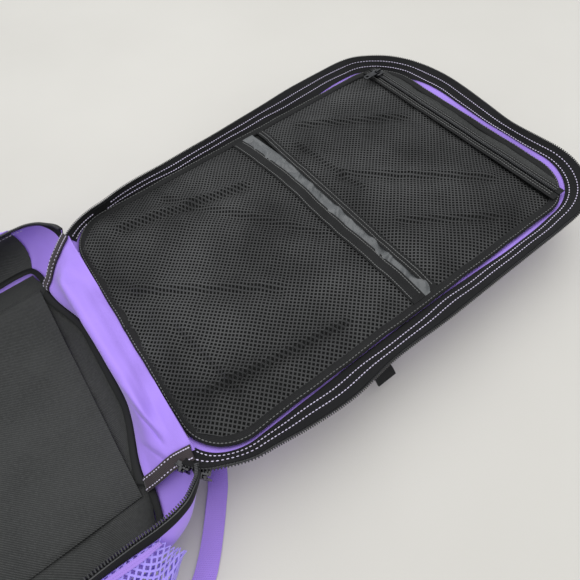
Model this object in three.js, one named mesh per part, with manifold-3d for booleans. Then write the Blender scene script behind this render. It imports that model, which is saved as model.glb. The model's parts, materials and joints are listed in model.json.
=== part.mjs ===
// Racket backpack lying open on its back: the body holds the main compartment, and the lid, a
// padded front cover with its own front pocket, is folded out flat beyond the hinge panel.
// Millimetres, +Z up, +X to the right, +Y from the body to the lid, standing on z = 0.
import * as THREE from "three";
import { mergeVertices } from "three/addons/utils/BufferGeometryUtils.js";
import Module from "manifold-3d";

const wasm = await Module();
wasm.setup();

// Driving dimensions
const panelWidth = 300; // lining panels of lid and body, seam to seam
const panelLength = 450; // the same panels, hinge seam to top seam
const hingeCornerRadius = 45; // panel corners at the hinge end
const topCornerRadius = 52; // panel corners at the top end
const flare = 20; // how far the zip rim stands outside the panel seam
const lidDepth = 50; // table to the top of the lid's lining panel
const lidRise = 14; // lining panel to the lid's rim
const bodyDepth = 74; // table to the body's rim
const clothWall = 1.8; // walls of single fabric, measured level
const hingeHalf = 118; // half the hinge panel between the two corner seams
const crestDrop = 12; // the hinge panel's crest below the body's rim

const strapThickness = 8; // shoulder pads and back pads between the table and the back panel
const foamThickness = 9.6; // padded back panel
const liningThickness = 1.7;
const panelThickness = 2; // lid panel with its lining
const bindingWidth = 8;
const bindingHeight = 2.4;

const coilWidth = 5.5;
const coilHeight = 2.4;
const tapeWidth = 15;
const tapeThickness = 1.4;
const sliderLength = 12;
const sliderWall = 1.9;
const bailHeight = 2.9;
const bailSpan = 7.2;
const pullerLength = 22;
const pullerThickness = 1.2;

const meshThickness = 1.4; // netting of the pockets
const lowerPocketHeight = 9; // netting above the lid panel, with room for flat things
const upperPocketHeight = 6;
const lowerPocketShare = 0.5644; // of the netting's whole length
const lowerBandWidth = 14;
const stripeWidth = 10; // satin stripe left bare between the two pockets
const upperBandWidth = 10;
const topStripLength = 22.4; // bare lining above the upper pocket's zip
const pocketInset = 13; // pocket sides inside the panel seam

const sleeveWidth = 248; // flat sleeve on the back lining
const sleeveLength = 290;
const sidePocketLength = 160;
const sidePocketBulge = 32; // how far the netting side pockets stand out from the wall's foot
const sidePocketStart = 44; // from the hinge axis
const pouchShoulder = 16; // slanted top of the side pocket's section
const pouchFoot = 12;
const pouchTopCut = 6;
const pouchLowCut = 8;
const cornerTapeWidth = 12;
const webbingWidth = 22;
const webbingThickness = 2;
const anchorHalf = 22; // webbing anchor tabs, at their wide end
const anchorTipHalf = 12;
const anchorLength = 34;
const anchorFar = 60; // their wide end from the hinge axis
const anchorInset = 38; // their middle inside the panel's side
const padWidth = 60; // shoulder pads at the top
const padTipWidth = 34;
const padTopInset = 14; // from the panel's top seam
const padReach = 222; // how far the shoulder pads run towards the hinge
const lockHalfLength = 12;
const lockSide = 4;
const lockThickness = 4.4;
const lockSlots = [[-8.5, -4.9], [1.9, 5.5]];
const lockTurn = -38; // degrees
const upperPad = { half: 22, start: 20, end: 210, radius: 8 }; // from the straps' top
const lowerPad = { half: 84, start: 70, end: 150, radius: 14 }; // from the hinge axis
const padSoftening = 2;
const handleSpan = 96;
const handleReach = 48;
const handleWidth = 18;
const frontZipHeight = 24; // middle of the front pocket's zip above the table
const sideStrapWidth = 20;
const sideStrapHeight = 31;
const sideStrapPlace = 165; // from the hinge seam of the lid
const frontSliderPlace = 270;
const mainSliderDegrees = { main_zip_far: -46, main_zip_near: -60 }; // round the lid's corner

const gap = 0.3; // between touching pieces
const arcSteps = 6; // facets of a quarter turn
const softSteps = 2; // facets of a softened edge

// Values worked out from them
const lidRim = lidDepth + lidRise;
const backLow = strapThickness + gap;
const backTop = backLow + foamThickness;
const liningTop = backTop + gap + liningThickness;
const rimClear = 0.5; // from the coils to the plane where lid and body meet
const coilDrop = coilHeight + rimClear;
const rimOuter = panelWidth / 2 + flare;
const rimFar = flare + panelLength + flare; // from the hinge axis to the outside of the top rim
const nearEnd = flare; // from the hinge axis to the panel seams
const cornerDepth = flare + hingeCornerRadius;

// Looks
const looks = {
  purpleCloth: { color: 0xa889ec, roughness: 0.55, metalness: 0 },
  purpleWebbing: { color: 0x9a7fd8, roughness: 0.8, metalness: 0 },
  purpleMesh: { color: 0xa79be6, roughness: 0.75, metalness: 0 },
  blackLining: { color: 0x2b2b2c, roughness: 0.6, metalness: 0 },
  blackSatin: { color: 0x3a3c3f, roughness: 0.3, metalness: 0 },
  blackMesh: { color: 0x1d1d1e, roughness: 0.85, metalness: 0 },
  blackWebbing: { color: 0x262627, roughness: 0.8, metalness: 0 },
  blackTape: { color: 0x1b1b1d, roughness: 0.75, metalness: 0 },
  blackMetal: { color: 0x101012, roughness: 0.2, metalness: 0.6 },
  blackPlastic: { color: 0x18181a, roughness: 0.4, metalness: 0 },
};

const alongX = new THREE.Vector3(1, 0, 0);
const alongY = new THREE.Vector3(0, 1, 0);
const alongZ = new THREE.Vector3(0, 0, 1);

const bag = new THREE.Group();

// Solids

function toSolid(geometry) {
  const bare = geometry.index ? geometry.toNonIndexed() : geometry.clone();
  bare.deleteAttribute("normal");
  bare.deleteAttribute("uv");
  const merged = mergeVertices(bare, 1e-4);
  const vertProperties = merged.attributes.position.array;
  const triVerts = new Uint32Array(merged.index.array);
  return new wasm.Manifold(new wasm.Mesh({ numProp: 3, vertProperties, triVerts }));
}

function addPiece(name, solid, look) {
  const made = solid.getMesh();
  const geometry = new THREE.BufferGeometry();
  geometry.setAttribute("position", new THREE.BufferAttribute(made.vertProperties, 3));
  geometry.setIndex(new THREE.BufferAttribute(made.triVerts, 1));
  const piece = new THREE.Mesh(geometry, new THREE.MeshStandardMaterial(looks[look]));
  piece.name = name;
  bag.add(piece);
  return piece;
}

function block(x0, x1, y0, y1, z0, z1) {
  const geometry = new THREE.BoxGeometry(x1 - x0, y1 - y0, z1 - z0);
  geometry.translate((x0 + x1) / 2, (y0 + y1) / 2, (z0 + z1) / 2);
  return toSolid(geometry);
}

function slab(shape, z0, z1) {
  const options = { depth: z1 - z0, bevelEnabled: false, curveSegments: arcSteps };
  return toSolid(new THREE.ExtrudeGeometry(shape, options).translate(0, 0, z0));
}

// A slab with softened edges, its outline at its widest.
function cushion(shape, z0, z1, edge) {
  const options = {
    depth: z1 - z0 - 2 * edge,
    bevelThickness: edge,
    bevelSize: edge,
    bevelOffset: -edge,
    bevelSegments: softSteps,
    curveSegments: arcSteps,
  };
  return toSolid(new THREE.ExtrudeGeometry(shape, options).translate(0, 0, z0 + edge));
}

function roundedOutline(x0, x1, y0, y1, lowRadius, highRadius) {
  const quarter = Math.PI / 2;
  const shape = new THREE.Shape();
  shape.moveTo(x0 + lowRadius, y0);
  shape.absarc(x1 - lowRadius, y0 + lowRadius, lowRadius, -quarter, 0);
  shape.absarc(x1 - highRadius, y1 - highRadius, highRadius, 0, quarter);
  shape.absarc(x0 + highRadius, y1 - highRadius, highRadius, quarter, 2 * quarter);
  shape.absarc(x0 + lowRadius, y0 + lowRadius, lowRadius, 2 * quarter, 3 * quarter);
  return shape;
}

// The panel seam's outline moved outwards by grow, of the lid (side 1) or the body (side -1).
function panelOutline(side, grow) {
  const half = panelWidth / 2 + grow;
  const near = nearEnd - grow;
  const far = nearEnd + panelLength + grow;
  const hingeRadius = hingeCornerRadius + grow;
  const topRadius = topCornerRadius + grow;
  if (side > 0) return roundedOutline(-half, half, near, far, hingeRadius, topRadius);
  return roundedOutline(-half, half, -far, -near, topRadius, hingeRadius);
}

function ring(side, innerGrow, outerGrow, z0, z1) {
  const hole = slab(panelOutline(side, innerGrow), z0 - 1, z1 + 1);
  return slab(panelOutline(side, outerGrow), z0, z1).subtract(hole);
}

// A solid whose outline widens evenly from growLow at z0 to growHigh at z1.
function funnelSolid(side, growLow, growHigh, z0, z1) {
  const options = {
    depth: 1,
    bevelThickness: z1 - z0,
    bevelSize: growHigh - growLow,
    bevelSegments: 1,
    curveSegments: arcSteps,
  };
  const geometry = new THREE.ExtrudeGeometry(panelOutline(side, growLow), options);
  const keep = block(-rimOuter * 2, rimOuter * 2, -rimFar * 2, rimFar * 2, z0, z1);
  return toSolid(geometry.translate(0, 0, z1)).intersect(keep);
}

// The flared walls: each level's outward reach lies on one straight slope from seam to rim.
const slopes = {
  lid: { side: 1, foot: lidDepth - panelThickness, rim: lidRim },
  body: { side: -1, foot: backLow + 2, rim: bodyDepth },
};

function reach(slope, z) {
  return (flare * (z - slope.foot)) / (slope.rim - slope.foot);
}

// A layer on the flared wall between two heights; inset is measured level from the outer face.
function wallLayer(slope, z0, z1, inset, thickness) {
  const out = (z) => reach(slope, z) - inset;
  const outer = funnelSolid(slope.side, out(z0), out(z1), z0, z1);
  const [low, high] = [z0 - 1, z1 + 1];
  const inner = funnelSolid(slope.side, out(low) - thickness, out(high) - thickness, low, high);
  return outer.subtract(inner);
}

// The stretch of the walls at the hinge end, between the corner seams.
function hingeStretch(side, half) {
  const ends = side > 0 ? [-1, cornerDepth] : [-cornerDepth, 1];
  return block(-half, half, ends[0], ends[1], 0, bodyDepth + 1);
}

function flatStrap(points, width, z0, z1, tipWidth = width) {
  const steps = 26;
  const curve = new THREE.CatmullRomCurve3(points.map(([x, y]) => new THREE.Vector3(x, y, 0)));
  const left = [];
  const right = [];
  for (let i = 0; i <= steps; i++) {
    const at = curve.getPoint(i / steps);
    const along = curve.getTangent(i / steps);
    const half = (width + ((tipWidth - width) * i) / steps) / 2;
    left.push(new THREE.Vector2(at.x - along.y * half, at.y + along.x * half));
    right.push(new THREE.Vector2(at.x + along.y * half, at.y - along.x * half));
  }
  return slab(new THREE.Shape([...right, ...left.reverse()]), z0, z1);
}

function mirrored(solid) {
  return solid.mirror([1, 0, 0]);
}

// Body

function addBackPanel() {
  const inset = -(clothWall + 1);
  addPiece("back_panel", slab(panelOutline(-1, inset), backLow, backTop), "purpleCloth");
  const lining = slab(panelOutline(-1, inset), backTop + gap, liningTop);
  addPiece("back_lining", lining, "blackLining");
  const bindingOuter = reach(slopes.body, liningTop) - clothWall - gap;
  const binding = ring(-1, bindingOuter - bindingWidth, bindingOuter, liningTop + gap,
    liningTop + gap + bindingHeight);
  addPiece("back_binding", binding, "blackTape");
  const sleeveNear = nearEnd + bindingWidth * 2;
  const sleeve = roundedOutline(-sleeveWidth / 2, sleeveWidth / 2, -sleeveNear - sleeveLength,
    -sleeveNear, 1, 20);
  addPiece("inner_sleeve", slab(sleeve, liningTop + gap, liningTop + gap + 3), "blackLining");
}

function addBodyWalls() {
  const slope = slopes.body;
  const wallTop = bodyDepth - coilDrop - gap;
  const walls = wallLayer(slope, slope.foot, wallTop, 0, clothWall);
  const open = walls.subtract(hingeStretch(-1, hingeHalf));
  addPiece("body_gusset", open, "purpleCloth");
  const crest = block(-hingeHalf + gap, hingeHalf - gap, -cornerDepth, 1, 0, bodyDepth - crestDrop);
  addPiece("bottom_panel", walls.intersect(crest), "purpleCloth");

  const tapeInset = clothWall + gap;
  const tape = wallLayer(slope, wallTop - tapeWidth, wallTop, tapeInset, tapeThickness);
  const tapeEnd = hingeHalf + bindingWidth;
  addPiece("body_zip_tape", tape.subtract(hingeStretch(-1, tapeEnd)), "blackTape");
  const coil = ring(-1, flare - gap - coilWidth, flare - gap, bodyDepth - coilDrop,
    bodyDepth - rimClear);
  addPiece("body_zip_coil", coil.subtract(hingeStretch(-1, hingeHalf)), "blackPlastic");

  const seamLow = liningTop + bindingHeight + 2 * gap;
  const cover = wallLayer(slope, seamLow, bodyDepth - crestDrop, tapeInset, tapeThickness);
  const half = cornerTapeWidth / 2;
  for (const [side, name] of [[1, "corner_tape_right"], [-1, "corner_tape_left"]]) {
    const x = side * hingeHalf;
    const strip = block(x - half, x + half, -cornerDepth, 1, 0, bodyDepth);
    addPiece(name, cover.intersect(strip), "blackTape");
  }
}

// A netting pouch on each side wall, open at its upper end.
function addSidePockets() {
  const slope = slopes.body;
  const wallX = (z) => panelWidth / 2 + reach(slope, z) + gap;
  const foot = slope.foot + 1;
  const head = bodyDepth - coilDrop - tapeWidth / 2;
  const outerX = panelWidth / 2 + sidePocketBulge;
  function section(inset) {
    const over = inset > 0 ? -4 : 0; // the inner shape runs on into the wall's side
    const points = [
      [wallX(foot) + over, foot + inset],
      [outerX - pouchLowCut - inset, foot + 2 + inset],
      [outerX - inset, foot + pouchFoot],
      [outerX - inset, head - pouchShoulder],
      [outerX - pouchTopCut - inset, head - 4 - inset],
      [wallX(head) + over, head - inset],
    ];
    return new THREE.Shape(points.map(([x, z]) => new THREE.Vector2(x, z)));
  }
  // Extrudes a section drawn in x and z along -y from y0.
  function along(shape, y0, length) {
    const geometry = new THREE.ExtrudeGeometry(shape, { depth: length, bevelEnabled: false });
    return toSolid(geometry.rotateX(Math.PI / 2).translate(0, y0, 0));
  }
  const start = -sidePocketStart;
  const mouth = start - sidePocketLength;
  const pouch = along(section(0), start, sidePocketLength)
    .subtract(along(section(meshThickness), start - meshThickness, sidePocketLength));
  const trim = along(section(0), mouth - gap, upperBandWidth)
    .subtract(along(section(meshThickness), mouth + 1, upperBandWidth + 4));
  addPiece("side_pocket_right", pouch, "purpleMesh");
  addPiece("side_pocket_left", mirrored(pouch), "purpleMesh");
  addPiece("side_pocket_trim_right", trim, "purpleWebbing");
  addPiece("side_pocket_trim_left", mirrored(trim), "purpleWebbing");
}

// Shoulder straps under the back panel, splayed out to both sides on the table. The webbing runs
// from its anchor under the panel's hinge corner, out past the side, and back to the adjuster.
function addStraps() {
  const corner = panelWidth / 2;
  const topY = -(nearEnd + panelLength - padTopInset);
  const padRoute = [[corner - 90, topY], [corner - 86, topY + 60], [corner - 66, topY + 125],
    [corner - 32, topY + 185], [corner - 4, topY + padReach]];
  const pad = flatStrap(padRoute, padWidth, 0, strapThickness, padTipWidth);
  const lockY = topY + padReach + 22;
  const lockX = corner + 14;
  const webRoute = [[corner - 38, -30], [corner - 38, -12], [corner - 27, 8], [corner - 10, 18],
    [corner + 5, 12], [corner + 21, 0], [corner + 39, 0.08 * lockY], [corner + 52, 0.15 * lockY],
    [corner + 63, 0.23 * lockY], [corner + 69, 0.33 * lockY], [corner + 68, 0.47 * lockY],
    [corner + 59, 0.62 * lockY], [corner + 44, 0.76 * lockY], [lockX + 8, lockY + 12]];
  const webbing = flatStrap(webRoute, webbingWidth, gap, gap + webbingThickness);
  const anchor = corner - anchorInset - 2;
  const anchorNear = anchorLength - anchorFar;
  const tabOutline = new THREE.Shape([[anchor - anchorHalf, -anchorFar],
    [anchor + anchorHalf, -anchorFar], [anchor + 2 + anchorTipHalf, anchorNear],
    [anchor + 2 - anchorTipHalf, anchorNear]].map(([x, y]) => new THREE.Vector2(x, y)));
  const tab = slab(tabOutline, webbingThickness + 2 * gap, strapThickness);
  const lock = ladderLock().rotate([0, 0, lockTurn]).translate([lockX, lockY, 0]);
  for (const [name, solid, look] of [
    ["shoulder_pad", pad, "purpleCloth"],
    ["lower_webbing", webbing, "purpleWebbing"],
    ["webbing_anchor", tab, "purpleCloth"],
    ["ladder_lock", lock, "blackPlastic"],
  ]) {
    addPiece(name + "_right", solid, look);
    addPiece(name + "_left", mirrored(solid), look);
  }
  const upper = roundedOutline(-upperPad.half, upperPad.half, topY + upperPad.start,
    topY + upperPad.end, upperPad.radius, upperPad.radius);
  addPiece("back_pad_upper", cushion(upper, 0, strapThickness, padSoftening), "blackMesh");
  const lower = roundedOutline(-lowerPad.half, lowerPad.half, -lowerPad.end, -lowerPad.start,
    lowerPad.radius, lowerPad.radius);
  addPiece("back_pad_lower", cushion(lower, 0, strapThickness, padSoftening), "blackMesh");
}

// The strap adjuster: a flat frame with two slots, lying on the webbing's end.
function ladderLock() {
  const wide = webbingWidth / 2 + lockSide;
  const z0 = webbingThickness + 2 * gap;
  const outline = roundedOutline(-wide, wide, -lockHalfLength, lockHalfLength, 3, 3);
  const slot = webbingWidth / 2 + 0.5;
  const cuts = lockSlots.map(([low, high]) => block(-slot, slot, low, high, 0, z0 + 8));
  return slab(outline, z0, z0 + lockThickness).subtract(cuts[0]).subtract(cuts[1]);
}

function addGrabHandle() {
  const root = -(nearEnd + panelLength) - gap;
  const loop = (spread) => {
    const shape = new THREE.Shape();
    shape.absellipse(0, root, handleSpan / 2 - spread, handleReach - spread, Math.PI, 2 * Math.PI);
    return shape;
  };
  const outer = cushion(loop(0), 1, strapThickness, padSoftening);
  const slot = slab(loop(handleWidth), 0, strapThickness + 1);
  const behind = block(-handleSpan, handleSpan, root - 0.01, root + 10, 0, 20);
  addPiece("grab_handle", outer.subtract(slot).subtract(behind), "purpleWebbing");
}

// Lid

function addLidWalls() {
  const slope = slopes.lid;
  const wall = clothWall * 1.5;
  const wallTop = lidRim - coilDrop - gap;
  const walls = wallLayer(slope, slope.foot, wallTop, 0, wall);
  addPiece("lid_gusset", walls.subtract(hingeStretch(1, hingeHalf)), "purpleCloth");
  addPiece("hinge_panel", walls.intersect(hingeStretch(1, hingeHalf - gap)), "purpleCloth");

  const panel = slab(panelOutline(1, -wall - 0.5), slope.foot, lidDepth);
  addPiece("lid_lining", panel, "blackLining");
  const bindingLow = lidDepth + gap;
  const bindingOuter = reach(slope, bindingLow) - wall - gap;
  const binding = ring(1, bindingOuter - bindingWidth, bindingOuter, bindingLow,
    bindingLow + bindingHeight);
  addPiece("lid_binding", binding, "blackTape");

  const tapeLow = bindingLow + bindingHeight + gap;
  const tape = wallLayer(slope, tapeLow, wallTop, wall + gap, tapeThickness * 1.5);
  const tapeEnd = hingeHalf + bindingWidth;
  addPiece("lid_zip_tape", tape.subtract(hingeStretch(1, tapeEnd)), "blackTape");
  const coil = ring(1, flare - gap - coilWidth, flare - gap, lidRim - coilDrop,
    lidRim - rimClear);
  addPiece("lid_zip_coil", coil.subtract(hingeStretch(1, hingeHalf)), "blackPlastic");
}

// Two netting pockets on the lining, a satin stripe between them, and the upper one's zip.
function addMeshPockets() {
  const half = panelWidth / 2 - pocketInset;
  const floor = lidDepth + gap;
  const start = nearEnd + pocketInset;
  const bands = gap + lowerBandWidth + stripeWidth + upperBandWidth;
  const tapeEnd = nearEnd + panelLength - topStripLength;
  const tapeStart = tapeEnd - tapeWidth;
  const netEnd = tapeStart - gap;
  const netting = netEnd - start - bands;
  const lowerEnd = start + netting * lowerPocketShare;
  const bandEnd = lowerEnd + gap + lowerBandWidth;
  const stripeEnd = bandEnd + stripeWidth;
  const netStart = stripeEnd + upperBandWidth;

  const lowerTop = lidDepth + lowerPocketHeight;
  const cornerRadius = hingeCornerRadius - pocketInset;
  const lowerShape = (inset, end) => roundedOutline(-half + inset, half - inset, start + inset, end,
    cornerRadius - inset, 1);
  const lowerNet = slab(lowerShape(0, lowerEnd), floor, lowerTop)
    .subtract(slab(lowerShape(meshThickness, lowerEnd + 20), floor - 1, lowerTop - meshThickness));
  addPiece("lower_mesh_pocket", lowerNet, "blackMesh");
  const band = block(-half, half, lowerEnd + gap, bandEnd, lowerTop - 2, lowerTop);
  addPiece("lower_pocket_band", band, "blackWebbing");
  const stripe = block(-half, half, lowerEnd + gap, stripeEnd - gap, floor, floor + 1);
  addPiece("satin_stripe", stripe, "blackSatin");

  const upperTop = lidDepth + upperPocketHeight;
  const upperBand = block(-half, half, stripeEnd, netStart - gap, floor, upperTop);
  addPiece("upper_pocket_band", upperBand, "blackWebbing");
  const net = block(-half, half, netStart, netEnd, floor, upperTop);
  addPiece("upper_mesh_pocket", net, "blackMesh");

  const tape = block(-half, half, tapeStart, tapeEnd, upperTop - tapeThickness, upperTop);
  addPiece("pocket_zip_tape", tape, "blackTape");
  const coilMiddle = (tapeStart + tapeEnd) / 2;
  const coilLow = upperTop + gap;
  const coil = block(-half + 4, half - 4, coilMiddle - coilWidth / 2, coilMiddle + coilWidth / 2,
    coilLow, coilLow + coilHeight);
  addPiece("pocket_zip_coil", coil, "blackPlastic");
  const above = block(-rimOuter, rimOuter, tapeEnd + gap, rimFar, 0, upperTop);
  const bindingInner = reach(slopes.lid, floor) - clothWall * 1.5 - gap - bindingWidth - gap;
  const strip = slab(panelOutline(1, bindingInner), floor, upperTop - 2).intersect(above);
  addPiece("top_lining_strip", strip, "blackLining");
  const place = new THREE.Matrix4().makeTranslation(-half + sliderLength, coilMiddle, coilLow);
  addZipPull("pocket", saddleSlider(), place);
}

// The front pocket under the lining panel, its zip round three sides, and a side strap end.
function addFrontPocket() {
  const inset = -2;
  const top = lidDepth - panelThickness - gap;
  addPiece("front_pocket", cushion(panelOutline(1, inset), 0, top, 10), "purpleCloth");
  const halfTape = tapeWidth / 2 - 1.5;
  const noHinge = block(-rimOuter, rimOuter, -1, cornerDepth + flare, 0, top);
  const tape = ring(1, inset + gap, inset + gap + tapeThickness, frontZipHeight - halfTape,
    frontZipHeight + halfTape);
  addPiece("front_zip_tape", tape.subtract(noHinge), "blackTape");
  const coilFoot = inset + 2 * gap + tapeThickness;
  const coil = ring(1, coilFoot, coilFoot + coilHeight, frontZipHeight - coilWidth / 2,
    frontZipHeight + coilWidth / 2);
  addPiece("front_zip_coil", coil.subtract(noHinge), "blackPlastic");

  // On the right-hand side the zip runs along y, faces +x and its puller hangs down.
  const place = new THREE.Matrix4().makeBasis(alongY, alongZ, alongX);
  place.setPosition(panelWidth / 2 + coilFoot, nearEnd + frontSliderPlace, frontZipHeight);
  addZipPull("front", saddleSlider(), place);

  const strapX = panelWidth / 2 + inset + gap;
  const strapY = nearEnd + sideStrapPlace;
  const strap = block(strapX, rimOuter + 3, strapY - sideStrapWidth / 2,
    strapY + sideStrapWidth / 2, sideStrapHeight, sideStrapHeight + webbingThickness);
  addPiece("side_strap_end", strap, "blackWebbing");
}

// Zip sliders. In its own frame a slider travels along x, the coil's foot is at z = 0, its bail
// stands up along z, and the puller threaded through the bail lies towards -y.
const sliderClear = 0.5; // around the coil, so that the slider also follows a corner
const sliderRoof = 1.5;
const saddleHeight = coilHeight + sliderClear + sliderRoof;
const bailLength = 2.4;
const pivotRise = 1.1; // puller's crossbar above the slider's roof

// The bail is an arch across the slider; its middle is at y and it stands on the roof.
function bailSolid(y, roof) {
  const half = bailSpan / 2;
  const arch = block(-bailLength / 2, bailLength / 2, y - half, y + half, roof - 0.5,
    roof + bailHeight);
  const window = block(-bailLength, bailLength, y - half + 1, y + half - 1, roof,
    roof + bailHeight - 0.9);
  return arch.subtract(window);
}

// Straddles a coil that lies on its tape.
function saddleSlider() {
  const half = sliderLength / 2;
  const channelHalf = coilWidth / 2 + sliderClear;
  const wide = channelHalf + sliderWall;
  const body = slab(roundedOutline(-half, half, -wide, wide, 2.5, 2.5), 0, saddleHeight);
  const channel = block(-half - 1, half + 1, -channelHalf, channelHalf, -1,
    coilHeight + sliderClear);
  const solid = body.subtract(channel).add(bailSolid(0, saddleHeight));
  return { solid, pivotY: 0, pivotZ: saddleHeight + pivotRise };
}

// Hooks over the outer edge and the underside of a coil that ends its tape, and stays below the
// plane where the two halves of the zip meet. Its z = 0 is the coil's outer edge, y = 0 its middle.
function edgeSlider() {
  const half = sliderLength / 2;
  const low = -coilHeight / 2 - sliderClear;
  const foot = low - sliderWall - 1;
  const plate = block(-half, half, foot, coilHeight / 2, gap, gap + sliderRoof);
  const hook = block(-half, half, foot, low, gap - coilWidth / 2, gap + sliderRoof);
  const middle = (foot + coilHeight / 2) / 2;
  const solid = plate.add(hook).add(bailSolid(middle, gap + sliderRoof));
  return { solid, pivotY: middle, pivotZ: gap + sliderRoof + pivotRise };
}

function pullerSolid(pivotY, pivotZ) {
  const arm = bailLength / 2 + 0.4;
  const edge = arm + 1.4;
  const half = pullerThickness / 2;
  const neck = bailSpan / 2 + 1.6;
  const crossbar = block(-edge, edge, -half, half, -half, half);
  const armRight = block(arm, edge, -neck - 1, half, -half, half);
  const blade = roundedOutline(-edge - 0.6, edge + 0.6, -pullerLength, -neck, 2.6, 1);
  const eye = block(-1.6, 1.6, -pullerLength + 2.4, -pullerLength + 6, -1, 1);
  const solid = crossbar.add(armRight).add(mirrored(armRight)).add(slab(blade, -half, half));
  return solid.subtract(eye).translate([0, pivotY, pivotZ]);
}

function addZipPull(name, slider, place) {
  addPiece(name + "_slider", slider.solid, "blackMetal").applyMatrix4(place);
  const puller = pullerSolid(slider.pivotY, slider.pivotZ);
  addPiece(name + "_puller", puller, "blackMetal").applyMatrix4(place);
}

// The two sliders of the main zip wait side by side at its right-hand end, on the lid's corner.
function addMainSliders() {
  const centre = new THREE.Vector3(panelWidth / 2 - hingeCornerRadius,
    nearEnd + hingeCornerRadius, lidRim - rimClear - coilHeight / 2);
  const coilEdge = hingeCornerRadius + flare - gap;
  for (const [name, degrees] of Object.entries(mainSliderDegrees)) {
    const angle = (degrees * Math.PI) / 180;
    const outward = new THREE.Vector3(Math.cos(angle), Math.sin(angle), 0);
    const travel = new THREE.Vector3().crossVectors(alongZ, outward);
    const place = new THREE.Matrix4().makeBasis(travel, alongZ, outward);
    place.setPosition(outward.clone().multiplyScalar(coilEdge).add(centre));
    addZipPull(name, edgeSlider(), place);
  }
}

addBackPanel();
addBodyWalls();
addSidePockets();
addStraps();
addGrabHandle();
addLidWalls();
addMeshPockets();
addFrontPocket();
addMainSliders();

// The origin is under the middle of the open bag.
const farEnd = nearEnd + panelLength + gap + handleReach;
bag.position.y = (farEnd - rimFar + gap) / 2;

export default bag;
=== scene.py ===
import bpy
import json
import math
import numpy as np
from mathutils import Matrix, Vector


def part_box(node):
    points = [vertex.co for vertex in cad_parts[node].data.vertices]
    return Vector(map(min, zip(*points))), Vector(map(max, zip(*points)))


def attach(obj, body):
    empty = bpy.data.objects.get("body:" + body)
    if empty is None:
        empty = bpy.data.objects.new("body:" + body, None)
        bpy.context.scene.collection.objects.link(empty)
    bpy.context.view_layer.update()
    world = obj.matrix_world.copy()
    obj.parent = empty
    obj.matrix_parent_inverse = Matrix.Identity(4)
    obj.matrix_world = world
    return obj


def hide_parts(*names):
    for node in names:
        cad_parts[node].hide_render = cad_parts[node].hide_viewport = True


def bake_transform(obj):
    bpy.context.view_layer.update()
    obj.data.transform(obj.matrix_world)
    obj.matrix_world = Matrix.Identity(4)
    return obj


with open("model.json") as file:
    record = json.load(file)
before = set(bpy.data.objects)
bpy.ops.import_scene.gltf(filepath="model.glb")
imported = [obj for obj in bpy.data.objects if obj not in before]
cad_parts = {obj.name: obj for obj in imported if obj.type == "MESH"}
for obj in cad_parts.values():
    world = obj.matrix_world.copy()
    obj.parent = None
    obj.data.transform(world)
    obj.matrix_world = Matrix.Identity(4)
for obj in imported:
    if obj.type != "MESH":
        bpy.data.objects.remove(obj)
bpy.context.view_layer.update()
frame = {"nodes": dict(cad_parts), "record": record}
scene = bpy.context.scene
mm = 0.001
jointAt = {j["name"]: j.get("pos_m") for j in frame["record"]["behaviour"]["joints"]}
hingeShift = jointAt["lid_hinge"][1] / mm  # the work below is in mm, with y = 0 on the hinge axis


def boxOf(node):
    low, high = (np.array(corner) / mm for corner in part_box(node))
    return low - (0, hingeShift, 0), high - (0, hingeShift, 0)


lidLow, lidHigh = boxOf("lid_lining")
coilHigh = boxOf("lid_zip_coil")[1]
panel = {
    "half": coilHigh[0] - 19.7,  # seam lines of the lining panels
    "near": lidLow[1] - 3.2,
    "far": lidHigh[1] + 3.2,
    "hingeRadius": 45.0,
    "topRadius": 52.0,
    "floor": lidHigh[2],  # top of the lid's lining
    "lidRim": coilHigh[2],
    "backTop": boxOf("back_lining")[1][2],
    "backLow": boxOf("body_gusset")[0][2],
    "bodyRim": boxOf("body_zip_coil")[1][2],
}


# small tools

def clearSelection():
    bpy.ops.object.select_all(action="DESELECT")


def makeActive(piece):
    clearSelection()
    piece.select_set(True)
    bpy.context.view_layer.objects.active = piece


def applied(piece, kind, **settings):
    makeActive(piece)
    modifier = piece.modifiers.new(kind.title(), kind)
    for key, value in settings.items():
        setattr(modifier, key, value)
    bpy.ops.object.modifier_apply(modifier=modifier.name)
    return piece


def toFrame(points):
    return (np.asarray(points, float) + (0, hingeShift, 0)) * mm


def meshPoints(piece):
    flat = np.empty(len(piece.data.vertices) * 3)
    piece.data.vertices.foreach_get("co", flat)
    return flat.reshape(-1, 3)


def setPoints(piece, points):
    piece.data.vertices.foreach_set("co", np.asarray(points, float).ravel())
    piece.data.update()


def curveThrough(knots, values, at):
    # smooth curve through given values
    k, v = np.asarray(knots, float), np.asarray(values, float)
    slope = np.gradient(v, k, axis=0)
    i = np.clip(np.searchsorted(k, at, side="right") - 1, 0, len(k) - 2)
    h = k[i + 1] - k[i]
    s = np.clip((at - k[i]) / h, 0, 1)
    if v.ndim > 1:
        h, s = h[:, None], s[:, None]
    a, b = 2 * s**3 - 3 * s**2 + 1, s**3 - 2 * s**2 + s
    c, d = 3 * s**2 - 2 * s**3, s**3 - s**2
    return a * v[i] + b * h * slope[i] + c * v[i + 1] + d * h * slope[i + 1]


def fromTable(table, at):
    # rows are (place, value)
    return curveThrough([row[0] for row in table], [row[1] for row in table], at)


def ease(x, low, high):
    s = np.clip((x - low) / (high - low), 0, 1)
    return s * s * (3 - 2 * s)


def ripple(x, length, start=0.0):
    # uneven waves between about -1 and 1, the same on every run
    w = 2 * math.pi / length
    return (0.5 * np.sin(w * x + start) + 0.3 * np.sin(1.73 * w * x + 2.1 * start + 1)
            + 0.2 * np.sin(2.91 * w * x + 0.7 * start + 2))


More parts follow.
